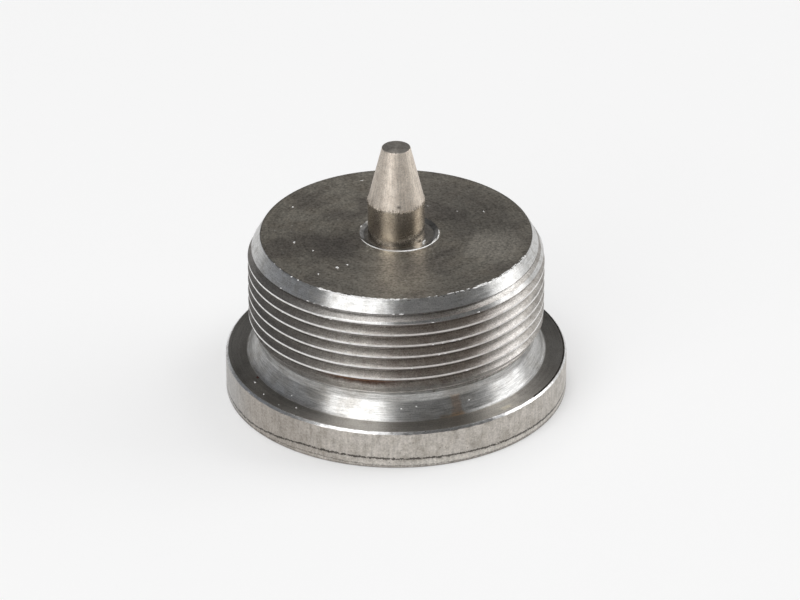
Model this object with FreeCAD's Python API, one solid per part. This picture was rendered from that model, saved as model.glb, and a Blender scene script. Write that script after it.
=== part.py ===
"""Threaded plug: a turned steel screw plug with a flange and a tapered pin.

Two pieces. plug_body is turned from bar in one piece: a round flange, a
relief groove, a metric thread with a chamfered lead, a shallow countersink
in the top face and a hexagon socket in the underside. taper_pin is a hard
pin that sits in a blind hole in the middle of the top face.

Frame: millimetres, +Z up along the thread's axis. The origin is the centre
of the underside, which the plug stands on. The front is -Y.
"""
import FreeCAD, Part
import math
import os

# Thread
THREAD_MAJOR_D = 48.0
THREAD_PITCH = 2.0
THREAD_LENGTH = 17.1          # end of the relief groove's floor to the top face
THREAD_ANGLE = 60.0
LEAD_CHAMFER_RADIAL = 2.0
LEAD_CHAMFER_ANGLE = 30.0     # between the chamfer and the axis
FIRST_CREST_DEPTH = 1.4       # highest crest below the top face, at the front
FRONT_AZIMUTH = 270.0
TRIANGLE_HEIGHT = THREAD_PITCH / 2 / math.tan(math.radians(THREAD_ANGLE / 2))
THREAD_DEPTH = TRIANGLE_HEIGHT * 17 / 24
CREST_FLAT = THREAD_PITCH / 8
CUTTER_STAND_OFF = THREAD_PITCH / 20
STRETCH_TURNS = 0.5           # length of one stretch of the thread's cutter
CUT_TOLERANCE = 0.0001        # within this the stretches' shared ends are one

# Flange
FLANGE_D = 55.6
FLANGE_T = 6.5
FLANGE_TOP_EDGE = 0.35
FLANGE_BOTTOM_EDGE = 0.2
SEAT_CLEARANCE = 0.1          # flange's seat starts this far outside the thread

# Relief groove between the flange and the thread
RELIEF_UNDERCUT = 0.27        # groove's floor below the thread's root
RELIEF_WIDTH = 2 * THREAD_PITCH
RELIEF_ANGLE = 30.0           # groove's wall on the flange's side, from the axis
RELIEF_CORNER = 1.0           # radius between that wall and the groove's floor
RUN_OUT_ANGLE = 30.0          # slope from the groove's floor up to the thread

# Taper pin
PIN_D = 9.2
PIN_STRAIGHT = 6.2            # straight part above the top face
PIN_TAPER = 9.4
PIN_TIP_D = 4.6
PIN_SEAT = 8.0                # length held in the plug
PIN_LEAD = 0.5
PIN_HOLE_CLEARANCE = 0.02     # on the diameter

# Countersink around the pin, cut a little off the axis
RECESS_MOUTH_D = 12.8
RECESS_DEPTH = 0.4
RECESS_SLOPE = 30.0
RECESS_OFFSET_X = 0.48
RECESS_OFFSET_Y = 0.43

# Hexagon socket in the underside
SOCKET_ACROSS_FLATS = 24.0
SOCKET_DEPTH = 10.0
SOCKET_MOUTH_EDGE = 0.8
SOCKET_BROACH_RELIEF = 1.5    # round pocket beyond the end of the flats

# Places worked out from the sizes
MAJOR_R = THREAD_MAJOR_D / 2
ROOT_R = MAJOR_R - THREAD_DEPTH
FLANGE_R = FLANGE_D / 2
RELIEF_R = ROOT_R - RELIEF_UNDERCUT
SEAT_R = MAJOR_R + SEAT_CLEARANCE
RELIEF_WALL_H = (SEAT_R - RELIEF_R) / math.tan(math.radians(RELIEF_ANGLE))
RELIEF_TOP_Z = FLANGE_T + RELIEF_WIDTH
RUN_OUT_TOP_Z = RELIEF_TOP_Z + (MAJOR_R - RELIEF_R) / math.tan(math.radians(RUN_OUT_ANGLE))
TOP_Z = RELIEF_TOP_Z + THREAD_LENGTH
LEAD_FOOT_Z = TOP_Z - LEAD_CHAMFER_RADIAL / math.tan(math.radians(LEAD_CHAMFER_ANGLE))
FIRST_CREST_Z = TOP_Z - FIRST_CREST_DEPTH
PIN_FLOOR_Z = TOP_Z - PIN_SEAT
AXIS = FreeCAD.Vector(0, 0, 1)
ORIGIN = FreeCAD.Vector(0, 0, 0)


def at(radius, z):
    """A point of a turned profile, in the XZ plane."""
    return FreeCAD.Vector(radius, 0, z)


def outline(points):
    """Straight edges through the points, in order."""
    return [Part.LineSegment(a, b).toShape() for a, b in zip(points, points[1:])]


def turned(edges):
    """The solid that a closed profile sweeps about the axis."""
    face = Part.Face(Part.Wire(edges))
    return face.revolve(ORIGIN, AXIS, 360)


def body_blank():
    """The plug before the thread, the socket and the pin's hole are cut."""
    lean = math.radians(RELIEF_ANGLE)
    reach = RELIEF_CORNER * math.tan(lean / 2)
    meet = at(RELIEF_R, FLANGE_T + RELIEF_WALL_H)
    wall_top = meet + at(math.sin(lean), -math.cos(lean)) * reach
    floor_foot = meet + at(0, reach)
    centre = floor_foot + at(RELIEF_CORNER, 0)
    corner_middle = centre - at(math.cos(lean / 2), math.sin(lean / 2)) * RELIEF_CORNER

    below_corner = outline([
        at(0, 0),
        at(FLANGE_R - FLANGE_BOTTOM_EDGE, 0),
        at(FLANGE_R, FLANGE_BOTTOM_EDGE),
        at(FLANGE_R, FLANGE_T - FLANGE_TOP_EDGE),
        at(FLANGE_R - FLANGE_TOP_EDGE, FLANGE_T),
        at(SEAT_R, FLANGE_T),
        wall_top,
    ])
    corner = Part.Arc(wall_top, corner_middle, floor_foot).toShape()
    above_corner = outline([
        floor_foot,
        at(RELIEF_R, RELIEF_TOP_Z),
        at(MAJOR_R, RUN_OUT_TOP_Z),
        at(MAJOR_R, LEAD_FOOT_Z),
        at(MAJOR_R - LEAD_CHAMFER_RADIAL, TOP_Z),
        at(0, TOP_Z),
        at(0, 0),
    ])
    return turned(below_corner + [corner] + above_corner)


def thread_cutters():
    """The right-hand helical V that leaves the thread's crests standing.

    It starts over the floor of the relief groove, runs up past the top face,
    and lies so that a crest passes the front at FIRST_CREST_Z. It is a row of
    short equal stretches, each one turned and raised from the last.
    """
    slope = math.tan(math.radians(THREAD_ANGLE / 2))
    half_at_crest = (THREAD_PITCH - CREST_FLAT) / 2
    half_outside = half_at_crest + CUTTER_STAND_OFF * slope
    half_at_root = half_at_crest - THREAD_DEPTH * slope
    outside_r = MAJOR_R + CUTTER_STAND_OFF
    section = outline([
        at(ROOT_R, -half_at_root),
        at(outside_r, -half_outside),
        at(outside_r, half_outside),
        at(ROOT_R, half_at_root),
        at(ROOT_R, -half_at_root),
    ])

    start_z = (FLANGE_T + RELIEF_WALL_H + RELIEF_TOP_Z) / 2
    turns_to_front = (FIRST_CREST_Z - THREAD_PITCH / 2 - start_z) / THREAD_PITCH
    start_azimuth = FRONT_AZIMUTH - 360 * turns_to_front
    rise = THREAD_PITCH * STRETCH_TURNS
    path = Part.Wire(Part.makeHelix(THREAD_PITCH, rise, MAJOR_R))
    stretch = path.makePipeShell([Part.Wire(section)], True, True)

    cutters = []
    for i in range(math.ceil((TOP_Z + THREAD_PITCH / 2 - start_z) / rise)):
        cutter = stretch.copy()
        cutter.translate(AXIS * (start_z + i * rise))
        cutter.rotate(ORIGIN, AXIS, start_azimuth + 360 * STRETCH_TURNS * i)
        cutters.append(cutter)
    return cutters


def socket_cutter():
    """The hexagon socket, with its mouth chamfer and broach relief."""
    corner_r = SOCKET_ACROSS_FLATS / 2 / math.cos(math.pi / 6)
    corners = [
        FreeCAD.Vector(corner_r * math.cos(i * math.pi / 3), corner_r * math.sin(i * math.pi / 3), 0)
        for i in range(7)
    ]
    hexagon = Part.Face(Part.makePolygon(corners)).extrude(AXIS * SOCKET_DEPTH)
    relief = Part.makeCylinder(SOCKET_ACROSS_FLATS / 2, SOCKET_DEPTH + SOCKET_BROACH_RELIEF)
    mouth = Part.makeCone(corner_r + SOCKET_MOUTH_EDGE, corner_r, SOCKET_MOUTH_EDGE)
    return hexagon.fuse([relief, mouth])


def recess_cutter():
    """The shallow off-centre countersink around the pin."""
    mouth_r = RECESS_MOUTH_D / 2
    floor_r = mouth_r - RECESS_DEPTH / math.tan(math.radians(RECESS_SLOPE))
    floor = FreeCAD.Vector(RECESS_OFFSET_X, RECESS_OFFSET_Y, TOP_Z - RECESS_DEPTH)
    return Part.makeCone(floor_r, mouth_r, RECESS_DEPTH, floor, AXIS)


def make_plug_body():
    """The flanged, threaded body as one solid."""
    hole_r = (PIN_D + PIN_HOLE_CLEARANCE) / 2
    pin_hole = Part.makeCylinder(hole_r, PIN_SEAT, at(0, PIN_FLOOR_Z), AXIS)
    threaded = body_blank().cut(thread_cutters(), CUT_TOLERANCE)
    return threaded.cut([socket_cutter(), recess_cutter(), pin_hole]).Solids[0]


def make_taper_pin():
    """The pin: a lead chamfer, a straight part and a blunt taper."""
    pin_r = PIN_D / 2
    straight_top = TOP_Z + PIN_STRAIGHT
    tip_z = straight_top + PIN_TAPER
    return turned(outline([
        at(0, PIN_FLOOR_Z),
        at(pin_r - PIN_LEAD, PIN_FLOOR_Z),
        at(pin_r, PIN_FLOOR_Z + PIN_LEAD),
        at(pin_r, straight_top),
        at(PIN_TIP_D / 2, tip_z),
        at(0, tip_z),
        at(0, PIN_FLOOR_Z),
    ]))


def main():
    """Builds each piece and writes it to its own file."""
    os.makedirs("parts", exist_ok=True)
    pieces = {"plug_body": make_plug_body(), "taper_pin": make_taper_pin()}
    for name, solid in pieces.items():
        box = solid.BoundBox
        print(name, "valid", solid.isValid(), "volume", round(solid.Volume, 2),
              "height", round(box.ZMin, 3), round(box.ZMax, 3))
        solid.exportStep("parts/" + name + ".step")


main()
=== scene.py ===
"""The threaded plug in its studio: a turned steel screw plug with a tapered pin.

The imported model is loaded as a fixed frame. The plug and its pin are then modelled again with the
marks of their making: a true helical thread, worn edges, a raised lip, burrs and chips. Sizes in
the classes are millimetres and degrees, and a finished piece is brought to metres last.

Azimuths run round the axis from the front of the plug, which faces -Y, towards its right, +X.
"""
import logging
import math
import random
from collections.abc import Callable, Sequence
from dataclasses import dataclass, field
from enum import Enum

import bmesh
import bpy
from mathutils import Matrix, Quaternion, Vector


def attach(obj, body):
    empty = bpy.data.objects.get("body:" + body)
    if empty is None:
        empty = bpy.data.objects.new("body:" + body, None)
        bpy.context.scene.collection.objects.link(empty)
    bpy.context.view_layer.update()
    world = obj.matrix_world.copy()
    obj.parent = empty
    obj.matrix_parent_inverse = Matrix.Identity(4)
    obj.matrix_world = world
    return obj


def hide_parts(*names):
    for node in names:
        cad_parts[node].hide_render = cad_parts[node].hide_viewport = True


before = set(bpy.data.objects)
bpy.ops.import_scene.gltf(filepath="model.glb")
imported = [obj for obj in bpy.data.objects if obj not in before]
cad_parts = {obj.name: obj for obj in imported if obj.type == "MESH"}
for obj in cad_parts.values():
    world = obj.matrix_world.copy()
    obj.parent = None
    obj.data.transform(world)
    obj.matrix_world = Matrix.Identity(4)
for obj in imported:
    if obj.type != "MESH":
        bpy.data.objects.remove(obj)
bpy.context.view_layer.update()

METRE = 1000.0
BODY = "root"

Socket = bpy.types.NodeSocket
Colour = tuple[float, float, float]
Point = tuple[float, float]
Test = Callable[[Vector, Vector], bool]

WHITE = (1.0, 1.0, 1.0)
# Dark of pits and scribed lines, and of painted shade in the thread's roots and at edges.
DARK_MARK_AND_SHADE = (0.05, 0.045, 0.04)
PALE_SPECK = (0.8, 0.79, 0.75)
FAINT, STRONG = 0.6, 0.7  # how much of a tint is laid over the steel
FULL_TURN = 360.0
FRONT = 270.0  # the front's angle from +X

log = logging.getLogger("threaded_plug")


def everywhere(place: Vector, normal: Vector) -> bool:
    """A test that every place passes."""
    return True


class Part(Enum):
    """What a selection is made of."""

    VERTICES = (True, False, False)
    FACES = (False, False, True)


class Lay(Enum):
    """The way that tool marks run over a surface."""

    FACED = "rings about the axis, each at its own radius"
    TURNED = "rings about the axis, each at its own height"
    FILLETED = "rings about the axis, on a surface that curves from one to the other"
    DRAWN = "streaks along the axis"


class Work:
    """One piece on the bench, in millimetres, with the tools that shape it."""

    SAME_PLACE = 0.002
    END_GAP = 0.001
    SEAM_GAP = 0.0005

    def __init__(self, name: str = "work") -> None:
        """Takes up the shape that was added last, and names it."""
        self.object = bpy.context.object
        self.object.name = self.object.data.name = name

    @staticmethod
    def clear() -> None:
        """Leaves nothing selected."""
        bpy.ops.object.select_all(action="DESELECT")

    def hold(self) -> None:
        """Selects this piece alone and makes it the active one."""
        self.clear()
        self.object.select_set(True)
        bpy.context.view_layer.objects.active = self.object

    def settle(self) -> None:
        """Works the held piece's place, turn and size into its mesh."""
        bpy.ops.object.transform_apply(location=True, rotation=True, scale=True)

    def open(self) -> None:
        """Opens the piece in edit mode with all of it selected."""
        self.hold()
        bpy.ops.object.mode_set(mode="EDIT")
        bpy.context.tool_settings.mesh_select_mode = Part.VERTICES.value
        bpy.ops.mesh.select_all(action="SELECT")

    def pick(self, test: Test, kind: Part = Part.VERTICES) -> None:
        """Opens the piece in edit mode with only what passes a test selected.

        Args:
            test: Takes a place and a normal, and says whether to select what is there.
            kind: Whether vertices or faces are tested.
        """
        self.open()
        bpy.context.tool_settings.mesh_select_mode = kind.value
        bpy.ops.mesh.select_all(action="DESELECT")
        mesh = bmesh.from_edit_mesh(self.object.data)
        for item in mesh.verts if kind is Part.VERTICES else mesh.faces:
            spot = item.co if kind is Part.VERTICES else item.calc_center_median()
            if test(spot, item.normal):
                item.select_set(True)
        mesh.select_flush_mode()
        bmesh.update_edit_mesh(self.object.data)

    def close(self) -> None:
        """Leaves edit mode."""
        bpy.ops.object.mode_set(mode="OBJECT")

    def close_outward(self) -> None:
        """Turns every face of the open piece outwards, and leaves edit mode."""
        bpy.ops.mesh.select_all(action="SELECT")
        bpy.ops.mesh.normals_make_consistent(inside=False)
        self.close()

    @classmethod
    def draw(cls, name: str, points: Sequence[Point], closed: bool = False) -> "Work":
        """Draws a chain of straight edges in the XZ plane, vertex by vertex.

        Args:
            name: The name of the new piece.
            points: Radius and height of each vertex, in order.
            closed: Whether an edge joins the last vertex to the first.

        Returns:
            The new piece.
        """
        cls.clear()
        bpy.ops.mesh.primitive_plane_add(size=1.0, location=(points[0][0], 0.0, points[0][1]))
        piece = cls(name)
        piece.settle()
        piece.open()
        bpy.ops.mesh.merge(type="CENTER")
        chain = [*points, points[0]] if closed else points
        for (r0, z0), (r1, z1) in zip(chain, chain[1:]):
            step = {"value": (r1 - r0, 0.0, z1 - z0)}
            bpy.ops.mesh.extrude_vertices_move(TRANSFORM_OT_translate=step)
        if closed:
            bpy.ops.mesh.select_all(action="SELECT")
            bpy.ops.mesh.remove_doubles(threshold=cls.END_GAP)
        piece.close()
        return piece

    def round_corner(self, corner: Point, offset: float, segments: int) -> None:
        """Rounds one corner of a drawn chain.

        Args:
            corner: Radius and height of the corner.
            offset: How far from the corner the rounding starts, on each edge.
            segments: How many edges the rounding has.
        """
        spot = Vector((corner[0], 0.0, corner[1]))
        self.pick(lambda co, _: (co - spot).length < self.SAME_PLACE)
        bpy.ops.mesh.bevel(offset=offset, segments=segments, profile=0.5, affect="VERTICES")
        self.close()

    def turn(self, steps: int, centre: float = 0.0) -> None:
        """Spins a drawn chain once round an upright axis and closes the seam.

        Args:
            steps: Number of faces round the axis.
            centre: Where the axis crosses X.
        """
        self.open()
        middle, up = (centre, 0.0, 0.0), (0.0, 0.0, 1.0)
        bpy.ops.mesh.spin(steps=steps, angle=math.tau, center=middle, axis=up)
        bpy.ops.mesh.select_all(action="SELECT")
        bpy.ops.mesh.remove_doubles(threshold=self.SEAM_GAP)
        self.close_outward()

    def modify(self, kind: str, **settings: object) -> None:
        """Adds a modifier and applies it.

        Args:
            kind: The modifier's type.
            settings: Its settings.
        """
        self.hold()
        change = self.object.modifiers.new("change", kind)
        for name, setting in settings.items():
            setattr(change, name, setting)
        bpy.ops.object.modifier_apply(modifier=change.name)

    def screw(self, pitch: float, turns: int, steps: int) -> None:
        """Sweeps a closed chain up a right-hand helix and caps both its ends.

        Args:
            pitch: Rise in one turn.
            turns: Number of turns.
            steps: Number of faces in one turn.
        """
        self.modify(
            "SCREW", axis="Z", angle=math.tau, screw_offset=pitch, iterations=turns,
            steps=steps, render_steps=steps, use_merge_vertices=False,
        )
        self.open()
        bpy.ops.mesh.fill_holes(sides=0)
        self.close_outward()

    def combine(self, tool: "Work", operation: str = "DIFFERENCE") -> None:
        """Cuts this solid with another, or joins them, and uses the other up.

        Args:
            tool: The other solid.
            operation: DIFFERENCE or UNION.
        """
        self.modify("BOOLEAN", object=tool.object, operation=operation, solver="MANIFOLD")
        tool.hold()
        bpy.ops.object.delete()

    def roughen(self, test: Test, offset: float, seed: int, soften: int = 0) -> None:
        """Moves chosen vertices about at random, as wear and burrs do.

        Args:
            test: Chooses the vertices.
            offset: The furthest that one moves.
            seed: Start of the random numbers.
            soften: How many times the result is smoothed.
        """
        self.pick(test)
        bpy.ops.transform.vertex_random(offset=offset, uniform=0.0, normal=0.0, seed=seed)
        if soften:
            bpy.ops.mesh.vertices_smooth(factor=0.5, repeat=soften)
        self.close()

    def coat(self, finishes: "Sequence[tuple[Steel, Test]]") -> None:
        """Gives parts of the surface their own finishes.

        Args:
            finishes: Each finish with the test that chooses its faces. A later one wins.
        """
        self.object.data.materials.clear()
        for slot, (finish, test) in enumerate(finishes):
            self.object.data.materials.append(finish.material())
            self.pick(test, Part.FACES)
            self.object.active_material_index = slot
            bpy.ops.object.material_slot_assign()
            self.close()

    def finish(self, sharp: float) -> bpy.types.Object:
        """Shades the piece, and brings it from millimetres to metres.

        Args:
            sharp: Edges that turn by more than this many degrees stay sharp.

        Returns:
            The finished object.
        """
        self.hold()
        bpy.ops.object.shade_smooth_by_angle(angle=math.radians(sharp))
        self.object.scale = (1 / METRE,) * 3
        self.settle()
        self.modify("WEIGHTED_NORMAL", mode="FACE_AREA", keep_sharp=True)
        self.clear()
        return self.object


def operator(operation: str, swapped: bool = False) -> Callable[["Value", object], "Value"]:
    """Makes one of Value's operators.

    Args:
        operation: The Math node's operation.
        swapped: Whether the other term comes first.

    Returns:
        The method.
    """

    def method(value: "Value", other: "Value | float") -> "Value":
        """Adds the Math node."""
        terms = (other, value) if swapped else (value, other)
        return value.graph.math(operation, *terms)

    return method


class Value:
    """A number that varies over a surface. Python's operators add Math nodes to it."""

    __add__, __radd__ = operator("ADD"), operator("ADD", swapped=True)
    __sub__, __rsub__ = operator("SUBTRACT"), operator("SUBTRACT", swapped=True)
    __mul__, __rmul__ = operator("MULTIPLY"), operator("MULTIPLY", swapped=True)
    __truediv__, __rtruediv__ = operator("DIVIDE"), operator("DIVIDE", swapped=True)

    def __init__(self, graph: "Graph", socket: Socket) -> None:
        """Wraps the socket that a node gives the number from."""
        self.graph = graph
        self.socket = socket

    def __abs__(self) -> "Value":
        """The number without its sign."""
        return self.graph.math("ABSOLUTE", self)

    def between(self, low: float, high: float) -> "Value":
        """Rises smoothly from 0 at low to 1 at high, or falls where high is the lower one."""
        ends = {"Value": self, "From Min": low, "From Max": high}
        return self.graph.value("MapRange", ends, interpolation_type="SMOOTHSTEP")

    def band(self, low: float, high: float, soft: float) -> "Value":
        """1 from low to high and 0 outside, over an edge of this width at each end."""
        return self.between(low - soft, low + soft) * self.between(high + soft, high - soft)


class Graph:
    """The nodes of one material or world."""

    def __init__(self, tree: bpy.types.NodeTree) -> None:
        """Starts from an empty tree."""
        self.tree = tree
        tree.nodes.clear()

    def node(self, kind: str, inputs: dict | None = None, **settings: object) -> bpy.types.Node:
        """Adds one node.

        Args:
            kind: The node's type, without the word that all of them start with.
            inputs: What each socket gets, by name or number: a number, colour, Value or socket.
            settings: Its own settings, which are set first. A ramp's stops are one of them.

        Returns:
            The new node.
        """
        made = self.tree.nodes.new("ShaderNode" + kind)
        stops = settings.pop("stops", ())
        while stops and len(made.color_ramp.elements) < len(stops):
            made.color_ramp.elements.new(0.5)
        for i, (position, colour) in enumerate(stops):
            made.color_ramp.elements[i].position = position
            made.color_ramp.elements[i].color = (*colour, 1.0)
        for name, setting in settings.items():
            setattr(made, name, setting)
        for name, given in (inputs or {}).items():
            socket = made.inputs[name]
            if isinstance(given, Value):
                given = given.socket
            if isinstance(given, Socket):
                self.tree.links.new(given, socket)
            elif isinstance(given, tuple) and len(given) == 3 and len(socket.default_value) == 4:
                socket.default_value = (*given, 1.0)
            else:
                socket.default_value = given
        return made

    def value(self, kind: str, inputs: dict, **settings: object) -> Value:
        """Adds one node and takes its first result as a number."""
        return Value(self, self.node(kind, inputs, **settings).outputs[0])

    def math(self, operation: str, *terms: Value | float) -> Value:
        """Adds one Math node, with its terms in order."""
        return self.value("Math", dict(enumerate(terms)), operation=operation)

    def blend(self, share: Value, first: object, second: object) -> Socket:
        """Mixes two colours, with a share from 0 to 1 of the second."""
        mixed = self.node("Mix", {0: share, 6: first, 7: second}, data_type="RGBA")
        return mixed.outputs[2]

    def scale(self, vector: object, amount: Value | float) -> Socket:
        """A vector or a colour, times a number."""
        return self.node("VectorMath", {0: vector, "Scale": amount}, operation="SCALE").outputs[0]

    def noise(self, place: object, size: float, detail: float = 2.0, rough: float = 0.5) -> Value:
        """Noise from 0 to 1, with clouds of a size in the vector's units and finer layers."""
        given = {"Vector": place, "Scale": 1 / size, "Detail": detail, "Roughness": rough}
        return self.value("TexNoise", given)

    def rings(self, around: object, across: Value, pitch: float) -> Value:
        """Noise drawn out along a slow vector, into rings a pitch apart across it."""
        given = {"Vector": around, "W": across / pitch, "Scale": 1.0, "Roughness": 0.6}
        return self.value("TexNoise", given, noise_dimensions="4D")

    def spots(self, place: object, size: float, share: float) -> Value:
        """Small scattered spots.

        Args:
            place: The vector that they follow.
            size: Size of the cells, of which some have a spot.
            share: Radius of the spots, as a share of a cell.

        Returns:
            A mask, 1 on a spot.
        """
        cells = self.node("TexVoronoi", {"Vector": place, "Scale": 1 / size, "Randomness": 1.0})
        chance = self.value("SeparateColor", {0: cells.outputs["Color"]})
        near = Value(self, cells.outputs["Distance"]).between(share, share * 0.5)
        return near * chance.between(0.6, 0.62)


class Around:
    """A surface's place about the plug's axis, in millimetres and degrees."""

    def __init__(self, graph: Graph) -> None:
        """Works the place out from Object coordinates.

        Args:
            graph: The graph that the nodes are added to.
        """
        self.graph = graph
        self.place = graph.scale(graph.node("TexCoord").outputs["Object"], METRE)
        split = graph.node("SeparateXYZ", {0: self.place})
        x, y, self.z = (Value(graph, socket) for socket in split.outputs)
        square = x * x + y * y
        self.radius = graph.math("SQRT", square)
        self.azimuth = graph.math("ARCTAN2", x, y * -1.0) * math.degrees(1.0)
        flat = graph.node("CombineXYZ", {0: x, 1: y}).outputs[0]
        self.outward = graph.node("VectorMath", {0: flat}, operation="NORMALIZE").outputs[0]

    def slow(self, turns: float, up: float = 0.0) -> Socket:
        """A vector that changes slowly round the axis.

        Args:
            turns: How fast it changes round the axis.
            up: How fast it changes along the axis.

        Returns:
            The vector.
        """
        ring = self.graph.scale(self.outward, turns)
        rise = self.graph.node("CombineXYZ", {2: self.z * up}).outputs[0]
        return self.graph.node("VectorMath", {0: ring, 1: rise}, operation="ADD").outputs[0]


@dataclass(frozen=True)
class StainAndLightPatch:
    """A place of colour on the steel, round an azimuth, between two heights and two radii.

    Some are real stains and rust; others are painted highlights and painted shade.
    """

    azimuth: float
    half_width: float
    low: float
    high: float
    colour: Colour
    strength: float
    ragged: float = 0.3
    inner: float = 0.0
    outer: float = 40.0
    soft: float = 0.15

    def mask(self, at: Around) -> Value:
        """Where the patch lies.

        Args:
            at: The surface's place.

        Returns:
            Its mask, from 0 to its strength.
        """
        broken = (at.graph.noise(at.place, 1.3, detail=4.0, rough=0.6) - 0.5) * self.ragged
        off = abs(at.azimuth - self.azimuth) / self.half_width + broken * 2.0
        along = off.between(1.4, 0.4)
        up = (at.z + broken * 1.5).band(self.low, self.high, 0.25)
        shift = broken * (self.soft / StainAndLightPatch.soft)
        out = (at.radius + shift).band(self.inner, self.outer, self.soft)
        return along * up * out * self.strength


@dataclass(frozen=True)
class Scribe:
    """A broken dark line that wanders round the rim, through azimuths and heights."""

    path: tuple[Point, ...]
    half_width: float
    strength: float
    ramp_height: float = 10.0

    def mask(self, at: Around) -> Value:
        """Where the line lies.

        Args:
            at: The surface's place.

        Returns:
            Its mask, from 0 to its strength.
        """
        graph = at.graph
        stops = [(turn / FULL_TURN + 0.5, (up / self.ramp_height,) * 3) for turn, up in self.path]
        ramp = graph.node("ValToRGB", {0: at.azimuth / FULL_TURN + 0.5}, stops=stops)
        level = graph.value("SeparateColor", {0: ramp.outputs[0]}) * self.ramp_height
        sway = (graph.noise(at.place, 0.9) - 0.5) * 0.4
        shake = (graph.noise(at.place, 0.22) - 0.5) * 0.5
        off = at.z - level + (sway + shake)
        broken = graph.noise(at.place, 0.8, detail=3.0, rough=0.7).between(0.31, 0.45)
        near = abs(off).between(self.half_width * 1.5, self.half_width * 0.5)
        return near * broken * self.strength


@dataclass(frozen=True)
class Steel:
    """A machined steel surface, with its tool marks, grime and wear.

    Grime lies in clouds over a share of the surface. Marks have a pitch, a depth and a tone. Their
    run is how fast they change on the way round or, for streaks along the axis, the surface's
    radius. Painted shade lies below one radius, down in the thread's roots, and the steel is
    darkened beyond another. Pits and specks have the size of the cells that they lie in, or 0 for
    none. Some places of colour are real stains and rust, others painted highlights and painted
    shade.
    """

    name: str
    colour: Colour
    grime: Colour
    lay: Lay
    roughness: float
    grime_share: float = 0.4
    cloud_size: float = 2.0
    fade: float = 0.12
    mark_pitch: float = 0.2
    mark_depth: float = 0.004
    mark_tone: float = 0.2
    mark_run: float = 2.0
    mark_polish: float = 0.1
    grime_polish: float = 0.06
    grain: float = 0.4
    grain_size: float = 0.28
    grain_depth: float = 0.0
    anisotropy: float = 0.4
    metallic: float = 1.0
    gloss: float = 0.5
    stain: Colour | None = None
    stain_size: float = 3.5
    stain_edge: Point = (0.46, 0.66)
    shade: Colour | None = None
    shade_size: float = 9.0
    shade_edge: Point = (0.47, 0.62)
    root_shade_below: float = 0.0
    root_shade_heights: Point = (12.2, 12.8)
    darkened_beyond: float = 0.0
    pits: float = 0.0
    specks: float = 0.0
    stain_and_light_patches: tuple[StainAndLightPatch, ...] = ()
    scribes: tuple[Scribe, ...] = ()

    def material(self) -> bpy.types.Material:
        """Makes the material.

        Returns:
            A material on Object coordinates.
        """
        made = bpy.data.materials.new(self.name)
        made.use_nodes = True
        graph = Graph(made.node_tree)
        at = Around(graph)
        marks = self.marks(at)
        grain = graph.noise(at.place, self.grain_size, rough=0.6) - 0.5
        middle = 0.5 + (0.5 - self.grime_share) * 0.35
        cloud = graph.noise(at.place, self.cloud_size, detail=5.0, rough=0.6)
        dirt = cloud.between(middle - self.fade, middle + self.fade)
        colour = self.tinted(at, graph.blend(dirt, self.colour, self.grime))
        tone = 1.0 + (marks - 0.5) * self.mark_tone + grain * self.grain
        height = marks * self.mark_depth + grain * self.grain_depth
        bump = graph.node("Bump", {"Strength": 1.0, "Distance": 1 / METRE, "Height": height})
        polish = (marks - 0.5) * self.mark_polish
        surface = graph.node(
            "BsdfPrincipled",
            {
                "Base Color": graph.scale(colour, tone),
                "Metallic": self.metallic,
                "Specular IOR Level": self.gloss,
                "Roughness": self.roughness + polish + dirt * self.grime_polish,
                "Normal": bump.outputs[0],
                "Anisotropic": self.anisotropy,
                "Anisotropic Rotation": 0.0 if self.lay is Lay.DRAWN else 0.25,
            },
        )
        graph.node("OutputMaterial", {"Surface": surface.outputs[0]})
        return made

    def tinted(self, at: Around, colour: Socket) -> Socket:
        """Lays stains, painted shade, painted light, specks, pits and lines over the steel's
        colour.

        Args:
            at: The surface's place.
            colour: The colour so far.

        Returns:
            The colour with them.
        """
        graph, place = at.graph, at.place
        layers: list[tuple[Value, Colour]] = []
        if self.stain:
            cloud = graph.noise(place, self.stain_size, detail=3.0, rough=0.55)
            layers.append((cloud.between(*self.stain_edge) * FAINT, self.stain))
        # Painted shade down in the thread's roots: darker below a radius, above the relief groove.
        if self.root_shade_below:
            deep = at.radius.between(self.root_shade_below + 0.12, self.root_shade_below - 0.05)
            layers.append((deep * at.z.between(*self.root_shade_heights) * STRONG, DARK_MARK_AND_SHADE))
        # Darker beyond a radius: painted shade round the pin tip's edge, and a darker border by the
        # top face's edge.
        if self.darkened_beyond:
            outer = at.radius.between(self.darkened_beyond, self.darkened_beyond + 0.3)
            layers.append((outer * FAINT, DARK_MARK_AND_SHADE))
        if self.shade:
            cloud = graph.noise(place, self.shade_size)
            layers.append((cloud.between(*self.shade_edge) * STRONG, self.shade))
        if self.specks:
            layers.append((graph.spots(place, self.specks, 0.13) * FAINT, PALE_SPECK))
        if self.pits:
            layers.append((graph.spots(place, self.pits, 0.15) * FAINT, DARK_MARK_AND_SHADE))
        # Places of colour: real stains and rust, and painted highlights and painted shade.
        layers += [(patch.mask(at), patch.colour) for patch in self.stain_and_light_patches]
        layers += [(scribe.mask(at), DARK_MARK_AND_SHADE) for scribe in self.scribes]
        for mask, tint in layers:
            colour = graph.blend(mask, colour, tint)
        return colour

    def marks(self, at: Around) -> Value:
        """The tool marks' height over the surface.

        Args:
            at: The surface's place.

        Returns:
            The height, from 0 to 1.
        """
        if self.lay is Lay.DRAWN:
            along = at.slow(self.mark_run / self.mark_pitch, up=0.25)
            return at.graph.noise(along, 1.0, detail=3.0, rough=0.6)
        across = {Lay.FACED: at.radius, Lay.TURNED: at.z, Lay.FILLETED: at.z - at.radius}
        return at.graph.rings(at.slow(self.mark_run), across[self.lay], self.mark_pitch)


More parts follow.
